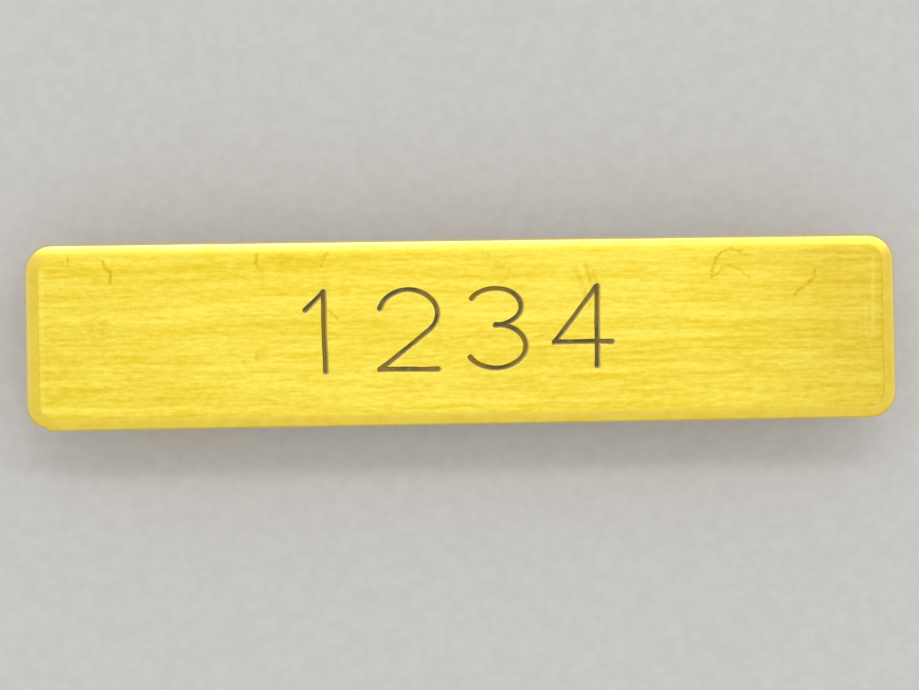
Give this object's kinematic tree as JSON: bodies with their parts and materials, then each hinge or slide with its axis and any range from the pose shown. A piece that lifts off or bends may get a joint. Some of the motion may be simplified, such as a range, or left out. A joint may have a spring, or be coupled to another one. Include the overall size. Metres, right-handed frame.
{
  "type": "name badge",
  "caption": "Long narrow engraved metal name badge with rounded corners and a rounded rim, brushed yellow brass, dark painted digits, and pin posts with round clutch backs.",
  "frame": {"origin": "on the surface that the badge lies on face up, under the middle of the plate", "axes": "+X along the plate to the right of someone reading it, +Y up the plate towards the tops of the digits, +Z out of the face"},
  "size_m": [0.0604, 0.0128, 0.0077],
  "materials": {
    "plate_brass": "brushed along its length, satin, with light scratches and stains",
    "engraving_paint": "dark grey-brown paint, dull and slightly worn",
    "post_brass": "plain drawn brass",
    "clutch_brass": "turned brass, lightly polished"
  },
  "bodies": {
    "root": {"name_plate": "plate_brass", "digit_paint_1": "engraving_paint", "digit_paint_2": "engraving_paint", "digit_paint_3": "engraving_paint", "digit_paint_4": "engraving_paint", "pin_post_left": "post_brass", "pin_post_right": "post_brass", "clutch_left": "clutch_brass", "clutch_right": "clutch_brass"}
  },
  "joints": []
}
